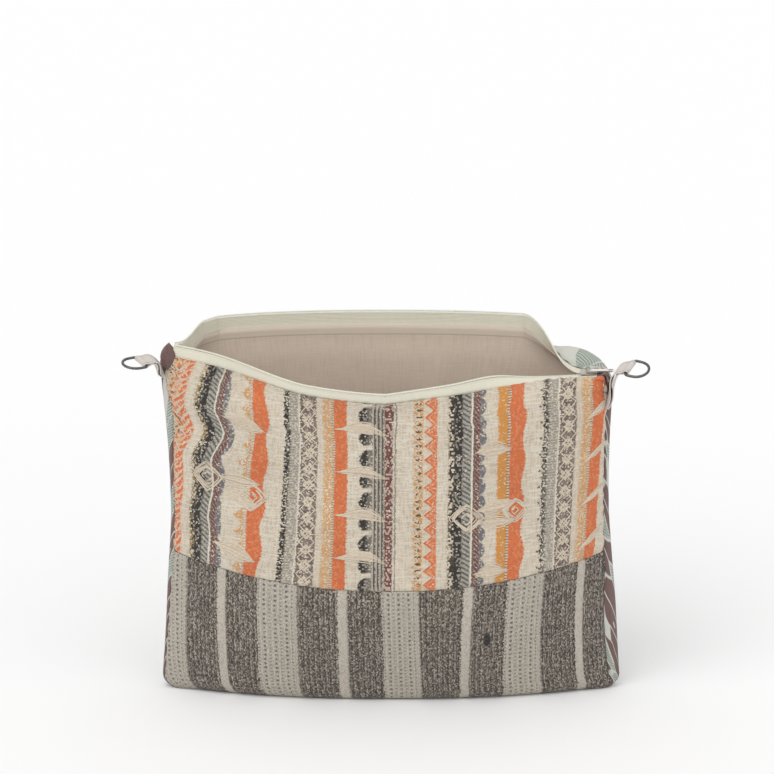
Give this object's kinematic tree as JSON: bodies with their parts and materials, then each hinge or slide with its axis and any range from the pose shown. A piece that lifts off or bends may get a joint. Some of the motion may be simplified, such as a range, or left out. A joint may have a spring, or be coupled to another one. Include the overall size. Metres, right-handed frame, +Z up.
{
  "type": "tallit bag",
  "caption": "Lined cloth zip pouch standing open on its base, pieced front of striped handwoven cloth, printed back, side tabs with D-rings for a strap.",
  "frame": {"origin": "on the underside of the flat base, below the middle of the mouth", "axes": "+X across the bag to the viewer's right, +Y from the front to the back, +Z up"},
  "size_m": [0.4223, 0.1244, 0.3011],
  "materials": {
    "upper_cloth": "cream handwoven cloth with orange, gold, grey and burgundy stripes",
    "lower_cloth": "heathered dark grey cloth with cream stripes",
    "back_cloth": "mauve block print with pale joints and sage dots",
    "lining": "beige linen",
    "zip_tape": "cream woven tape",
    "zip_coil": "cream nylon coil",
    "slider_metal": "nickel",
    "pull_metal": "pale nickel",
    "webbing": "off-white cotton tape",
    "ring_metal": "dark antique wire"
  },
  "bodies": {
    "bag": {"front_upper_panel": "upper_cloth", "front_lower_panel": "lower_cloth", "back_panel": "back_cloth", "lining_front": "lining", "lining_back": "lining", "zip_tape_front": "zip_tape", "zip_tape_back": "zip_tape", "zip_coil_front": "zip_coil", "zip_coil_back": "zip_coil", "zip_slider": "slider_metal", "zip_end_tab_left": "back_cloth", "zip_end_tab_right": "back_cloth", "tab_left": "webbing", "tab_right": "webbing"},
    "ring_left": {"ring_left": "ring_metal"},
    "ring_right": {"ring_right": "ring_metal"},
    "zip_pull": {"zip_pull": "pull_metal"}
  },
  "joints": [
    {"name": "ring_left_swing", "type": "hinge", "parent": "bag", "child": "ring_left", "pos_m": [-0.19922, -0.03096, 0.2875], "axis": [0.4866, -0.8663, -0.113], "range_deg": [-135, 80]},
    {"name": "ring_right_swing", "type": "hinge", "parent": "bag", "child": "ring_right", "pos_m": [0.18998, -0.02892, 0.282], "axis": [-0.4287, -0.8456, -0.3181], "range_deg": [-44, 170]},
    {"name": "zip_pull_swing", "type": "hinge", "parent": "bag", "child": "zip_pull", "pos_m": [0.15702, -0.006, 0.2711], "axis": [-0.0215, 0.9998, 0], "range_deg": [-170, 0]}
  ]
}
